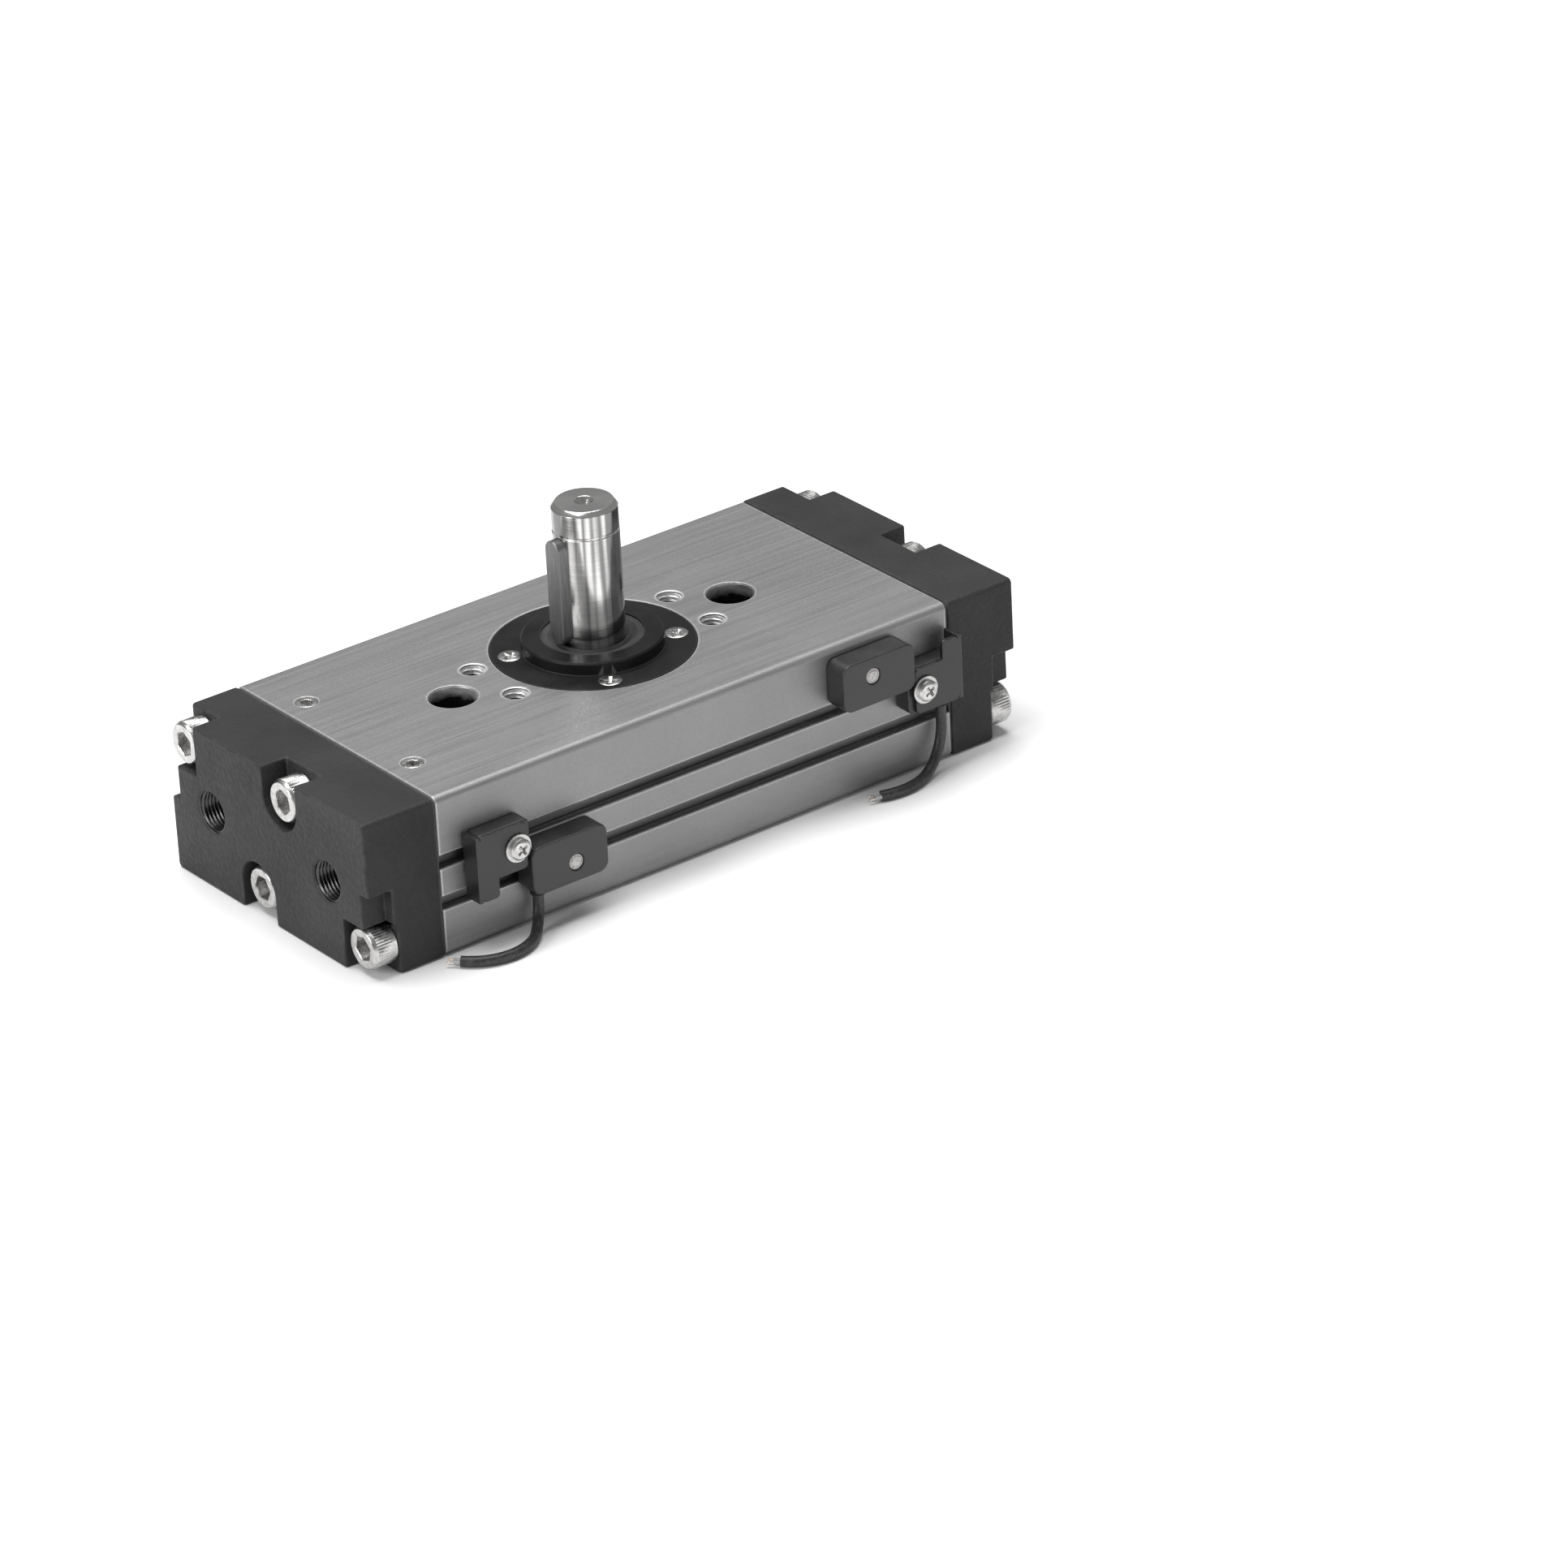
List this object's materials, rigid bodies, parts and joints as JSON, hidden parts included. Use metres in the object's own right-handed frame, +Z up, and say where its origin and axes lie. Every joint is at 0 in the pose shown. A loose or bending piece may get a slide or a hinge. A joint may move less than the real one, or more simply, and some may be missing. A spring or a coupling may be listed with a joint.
{
  "type": "rotary pneumatic actuator",
  "caption": "Compact double-rack rotary pneumatic actuator: long flat aluminium body, dark end covers, keyed output shaft, rail-mounted position switches.",
  "frame": {"origin": "where the output shaft's axis meets the plane of the base", "axes": "+X along the pistons, from the cover with the ports to the blind cover; -Y towards the side that carries the switches; +Z up the output shaft"},
  "size_m": [0.177, 0.0869, 0.073],
  "materials": {
    "anodised_aluminium": "bead-blasted clear anodised extrusion, satin",
    "cover_paint": "dark grey paint on die-cast aluminium, fine orange peel",
    "gasket": "black sheet rubber",
    "plated_steel": "bright zinc-nickel plating",
    "rubber": "matt black nitrile rubber",
    "retainer_paint": "satin black coating",
    "bearing_steel": "ground and polished bearing steel",
    "cap_steel": "turned steel",
    "spring_steel": "blackened spring steel",
    "ground_steel": "cylindrically ground steel",
    "key_steel": "drawn key steel, oiled",
    "cage_plastic": "natural glass-filled nylon",
    "rack_steel": "machined steel, oiled",
    "wear_plastic": "filled bearing plastic",
    "magnet": "bonded magnet",
    "switch_plastic": "black moulded plastic, fine spark-eroded texture",
    "bracket_paint": "black electro-coated sheet steel",
    "lamp_plastic": "clear red lamp window",
    "lead_jacket": "black vinyl cable jacket",
    "tinned_copper": "tinned stranded copper"
  },
  "bodies": {
    "housing": {"body_extrusion": "anodised_aluminium", "port_end_cover": "cover_paint", "blind_end_cover": "cover_paint", "port_end_gasket": "gasket", "blind_end_gasket": "gasket", "port_end_screws": "plated_steel", "blind_end_screws": "plated_steel", "port_end_bumpers": "rubber", "blind_end_bumpers": "rubber", "bearing_retainer": "retainer_paint", "retainer_screws": "plated_steel", "retainer_o_ring": "rubber", "shaft_seal": "rubber", "top_bearing_outer_race": "bearing_steel", "bottom_bearing_outer_race": "bearing_steel", "bottom_cap": "cap_steel", "snap_ring": "spring_steel", "bleed_plugs": "plated_steel"},
    "shaft": {"pinion_shaft": "ground_steel", "shaft_key": "key_steel", "top_bearing_inner_race": "bearing_steel", "bottom_bearing_inner_race": "bearing_steel"},
    "top_cage": {"top_bearing_cage": "cage_plastic", "top_bearing_balls": "bearing_steel"},
    "bottom_cage": {"bottom_bearing_cage": "cage_plastic", "bottom_bearing_balls": "bearing_steel"},
    "near_rack": {"near_rack_piston": "rack_steel", "near_piston_seals": "rubber", "near_wear_rings": "wear_plastic", "near_magnets": "magnet"},
    "far_rack": {"far_rack_piston": "rack_steel", "far_piston_seals": "rubber", "far_wear_rings": "wear_plastic"},
    "near_switch": {"near_switch_case": "switch_plastic", "near_switch_bracket": "bracket_paint", "near_switch_screw": "plated_steel", "near_switch_nut": "plated_steel", "near_switch_lamp": "lamp_plastic", "near_switch_grommet": "rubber", "near_lead": "lead_jacket", "near_lead_cores": "tinned_copper"},
    "far_switch": {"far_switch_case": "switch_plastic", "far_switch_bracket": "bracket_paint", "far_switch_screw": "plated_steel", "far_switch_nut": "plated_steel", "far_switch_lamp": "lamp_plastic", "far_switch_grommet": "rubber", "far_lead": "lead_jacket", "far_lead_cores": "tinned_copper"}
  },
  "joints": [
    {"name": "shaft_turn", "type": "hinge", "parent": "housing", "child": "shaft", "pos_m": [0, 0, 0], "axis": [0, 0, 1], "range_deg": [-90, 90]},
    {"name": "near_rack_slide", "type": "slide", "parent": "housing", "child": "near_rack", "axis": [1, 0, 0], "range_m": [-0.01885, 0.01885]},
    {"name": "far_rack_slide", "type": "slide", "parent": "housing", "child": "far_rack", "axis": [1, 0, 0], "range_m": [-0.01885, 0.01885]},
    {"name": "top_cage_turn", "type": "hinge", "parent": "housing", "child": "top_cage", "pos_m": [0, 0, 0], "axis": [0, 0, 1], "range_deg": [-37, 37]},
    {"name": "bottom_cage_turn", "type": "hinge", "parent": "housing", "child": "bottom_cage", "pos_m": [0, 0, 0], "axis": [0, 0, 1], "range_deg": [-37, 37]},
    {"name": "near_switch_slide", "type": "slide", "parent": "housing", "child": "near_switch", "axis": [1, 0, 0], "range_m": [-0.006, 0.03]},
    {"name": "far_switch_slide", "type": "slide", "parent": "housing", "child": "far_switch", "axis": [1, 0, 0], "range_m": [-0.03, 0.001]}
  ],
  "couplings": [
    {"joint": "shaft_turn", "follows": "near_rack_slide", "rad_per_m": 83.333},
    {"joint": "far_rack_slide", "follows": "near_rack_slide", "ratio": -1},
    {"joint": "top_cage_turn", "follows": "near_rack_slide", "rad_per_m": 33.915},
    {"joint": "bottom_cage_turn", "follows": "near_rack_slide", "rad_per_m": 33.915}
  ]
}
